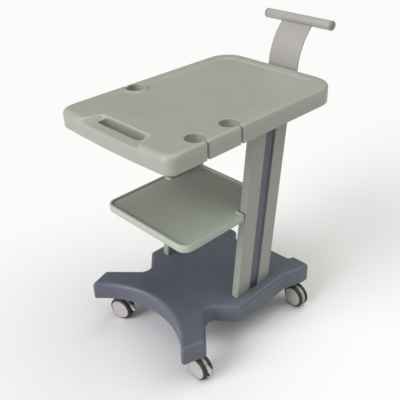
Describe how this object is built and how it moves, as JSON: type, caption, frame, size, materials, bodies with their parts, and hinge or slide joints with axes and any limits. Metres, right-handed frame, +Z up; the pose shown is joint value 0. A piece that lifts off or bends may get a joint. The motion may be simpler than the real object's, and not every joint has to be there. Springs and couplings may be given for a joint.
{
  "type": "ultrasound machine trolley",
  "caption": "Mobile trolley for a portable ultrasound scanner: moulded top tray with probe holders, shelf, leaning columns, push handle and a four-legged base on twin-wheel casters.",
  "frame": {"origin": "on the floor, at the middle of the bounding box; X = 0 is the plane of symmetry of tray, columns and base", "axes": "+Z up, +Y towards the push handle, so the user with the front grip stands at -Y, +X to that user's right"},
  "size_m": [0.4938, 0.746, 0.875],
  "materials": {
    "tray_plastic": "fine matte moulding texture",
    "shelf_plastic": "fine matte moulding texture",
    "base_plastic": "fine matte moulding texture",
    "column_paint": "satin powder coat",
    "core_paint": "satin powder coat",
    "frame_paint": "satin powder coat",
    "handle_paint": "satin powder coat",
    "steel": "zinc-plated",
    "cap_plastic": "plain",
    "tyre_rubber": "smooth tread",
    "wheel_plastic": "plain",
    "housing_plastic": "plain"
  },
  "bodies": {
    "trolley": {"base_cover": "base_plastic", "base_frame": "frame_paint", "column_left_front": "column_paint", "column_left_core": "core_paint", "column_left_rear": "column_paint", "column_right_front": "column_paint", "column_right_core": "core_paint", "column_right_rear": "column_paint", "column_foot_left": "steel", "column_foot_right": "steel", "crossbar_top": "frame_paint", "tray_bracket_left": "steel", "tray_bracket_right": "steel", "tray_top": "tray_plastic", "shelf_tray": "shelf_plastic", "shelf_bracket_left": "steel", "shelf_bracket_right": "steel", "handle_plate": "handle_paint", "handle_bar": "handle_paint", "handle_cap_left": "cap_plastic", "handle_cap_right": "cap_plastic", "handle_screw_left": "steel", "handle_screw_right": "steel", "caster_stem_fl": "steel", "caster_stem_fr": "steel", "caster_stem_rl": "steel", "caster_stem_rr": "steel"},
    "caster_fl": {"caster_housing_fl": "housing_plastic", "caster_axle_fl": "steel"},
    "wheel_fl_a": {"tyre_fl_a": "tyre_rubber", "hub_fl_a": "wheel_plastic"},
    "wheel_fl_b": {"tyre_fl_b": "tyre_rubber", "hub_fl_b": "wheel_plastic"},
    "brake_fl": {"brake_pedal_fl": "housing_plastic"},
    "caster_fr": {"caster_housing_fr": "housing_plastic", "caster_axle_fr": "steel"},
    "wheel_fr_a": {"tyre_fr_a": "tyre_rubber", "hub_fr_a": "wheel_plastic"},
    "wheel_fr_b": {"tyre_fr_b": "tyre_rubber", "hub_fr_b": "wheel_plastic"},
    "brake_fr": {"brake_pedal_fr": "housing_plastic"},
    "caster_rl": {"caster_housing_rl": "housing_plastic", "caster_axle_rl": "steel"},
    "wheel_rl_a": {"tyre_rl_a": "tyre_rubber", "hub_rl_a": "wheel_plastic"},
    "wheel_rl_b": {"tyre_rl_b": "tyre_rubber", "hub_rl_b": "wheel_plastic"},
    "caster_rr": {"caster_housing_rr": "housing_plastic", "caster_axle_rr": "steel"},
    "wheel_rr_a": {"tyre_rr_a": "tyre_rubber", "hub_rr_a": "wheel_plastic"},
    "wheel_rr_b": {"tyre_rr_b": "tyre_rubber", "hub_rr_b": "wheel_plastic"}
  },
  "joints": [
    {"name": "swivel_fl", "type": "hinge", "parent": "trolley", "child": "caster_fl", "pos_m": [-0.182, -0.2815, 0.09], "axis": [0, 0, 1], "continuous": true},
    {"name": "roll_fl_a", "type": "hinge", "parent": "caster_fl", "child": "wheel_fl_a", "pos_m": [-0.16278, -0.27599, 0.0375], "axis": [-0.2756, 0.9613, 0], "continuous": true},
    {"name": "roll_fl_b", "type": "hinge", "parent": "caster_fl", "child": "wheel_fl_b", "pos_m": [-0.16278, -0.27599, 0.0375], "axis": [-0.2756, 0.9613, 0], "continuous": true},
    {"name": "brake_fl", "type": "hinge", "parent": "caster_fl", "child": "brake_fl", "pos_m": [-0.1397, -0.26937, 0.054], "axis": [-0.2756, 0.9613, 0], "range_deg": [0, 12]},
    {"name": "swivel_fr", "type": "hinge", "parent": "trolley", "child": "caster_fr", "pos_m": [0.182, -0.2815, 0.09], "axis": [0, 0, 1], "continuous": true},
    {"name": "roll_fr_a", "type": "hinge", "parent": "caster_fr", "child": "wheel_fr_a", "pos_m": [0.202, -0.28185, 0.0375], "axis": [0.0175, 0.9998, 0], "continuous": true},
    {"name": "roll_fr_b", "type": "hinge", "parent": "caster_fr", "child": "wheel_fr_b", "pos_m": [0.202, -0.28185, 0.0375], "axis": [0.0175, 0.9998, 0], "continuous": true},
    {"name": "brake_fr", "type": "hinge", "parent": "caster_fr", "child": "brake_fr", "pos_m": [0.22599, -0.28227, 0.054], "axis": [0.0175, 0.9998, 0], "range_deg": [0, 12]},
    {"name": "swivel_rl", "type": "hinge", "parent": "trolley", "child": "caster_rl", "pos_m": [-0.182, 0.1585, 0.09], "axis": [0, 0, 1], "continuous": true},
    {"name": "roll_rl_a", "type": "hinge", "parent": "caster_rl", "child": "wheel_rl_a", "pos_m": [-0.20102, 0.15232, 0.0375], "axis": [0.309, -0.9511, 0], "continuous": true},
    {"name": "roll_rl_b", "type": "hinge", "parent": "caster_rl", "child": "wheel_rl_b", "pos_m": [-0.20102, 0.15232, 0.0375], "axis": [0.309, -0.9511, 0], "continuous": true},
    {"name": "swivel_rr", "type": "hinge", "parent": "trolley", "child": "caster_rr", "pos_m": [0.182, 0.1585, 0.09], "axis": [0, 0, 1], "continuous": true},
    {"name": "roll_rr_a", "type": "hinge", "parent": "caster_rr", "child": "wheel_rr_a", "pos_m": [0.20192, 0.15676, 0.0375], "axis": [0.0872, 0.9962, 0], "continuous": true},
    {"name": "roll_rr_b", "type": "hinge", "parent": "caster_rr", "child": "wheel_rr_b", "pos_m": [0.20192, 0.15676, 0.0375], "axis": [0.0872, 0.9962, 0], "continuous": true}
  ]
}
